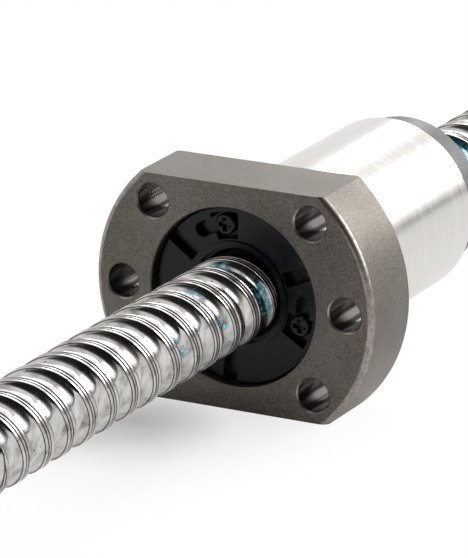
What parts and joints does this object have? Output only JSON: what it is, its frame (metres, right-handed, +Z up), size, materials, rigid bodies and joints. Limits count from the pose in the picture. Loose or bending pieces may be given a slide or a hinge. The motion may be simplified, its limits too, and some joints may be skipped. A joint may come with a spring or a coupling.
{
  "type": "flanged ball screw nut",
  "caption": "Flanged ball nut with end caps, wipers and ball return, running on a length of two-start rolled ball screw.",
  "frame": {"origin": "on the screw axis, in the rear mounting face of the flange", "axes": "+Y along the screw axis from the flange towards the rear cap; +Z up, square to the two flats; +X across, through the two side bolt holes"},
  "size_m": [0.04, 0.141, 0.03],
  "materials": {
    "rolled_screw_steel": "rolled and polished, wet with grease",
    "nut_steel": "phosphated flange, ground bright barrel",
    "black_cap_plastic": "moulded, glossy black",
    "grey_cap_plastic": "moulded, satin dark grey",
    "cap_screw_steel": "black oxide",
    "deflector_plastic": "moulded, natural",
    "wiper_rubber": "satin",
    "ball_steel": "polished"
  },
  "bodies": {
    "screw": {"screw_shaft": "rolled_screw_steel"},
    "wipers": {"front_wiper_ring": "wiper_rubber", "rear_wiper_ring": "wiper_rubber"},
    "nut": {"nut_body": "nut_steel", "front_end_cap": "black_cap_plastic", "rear_end_cap": "grey_cap_plastic", "front_cap_screw_1": "cap_screw_steel", "front_cap_screw_2": "cap_screw_steel", "front_cap_screw_3": "cap_screw_steel", "rear_cap_screw_1": "cap_screw_steel", "rear_cap_screw_2": "cap_screw_steel", "rear_cap_screw_3": "cap_screw_steel", "front_deflector_1": "deflector_plastic", "front_deflector_2": "deflector_plastic", "rear_deflector_1": "deflector_plastic", "rear_deflector_2": "deflector_plastic", "loaded_balls_1": "ball_steel", "loaded_balls_2": "ball_steel", "returning_balls_1": "ball_steel", "returning_balls_2": "ball_steel"}
  },
  "joints": [
    {"name": "nut_travel", "type": "slide", "parent": "screw", "child": "wipers", "axis": [0, 1, 0], "range_m": [-0.06, 0.025]},
    {"name": "nut_spin", "type": "hinge", "parent": "wipers", "child": "nut", "pos_m": [0, 0, 0], "axis": [0, 1, 0], "range_deg": [-2160.1, 900.1]}
  ],
  "couplings": [
    {"joint": "nut_spin", "follows": "nut_travel", "rad_per_m": 628.32}
  ]
}
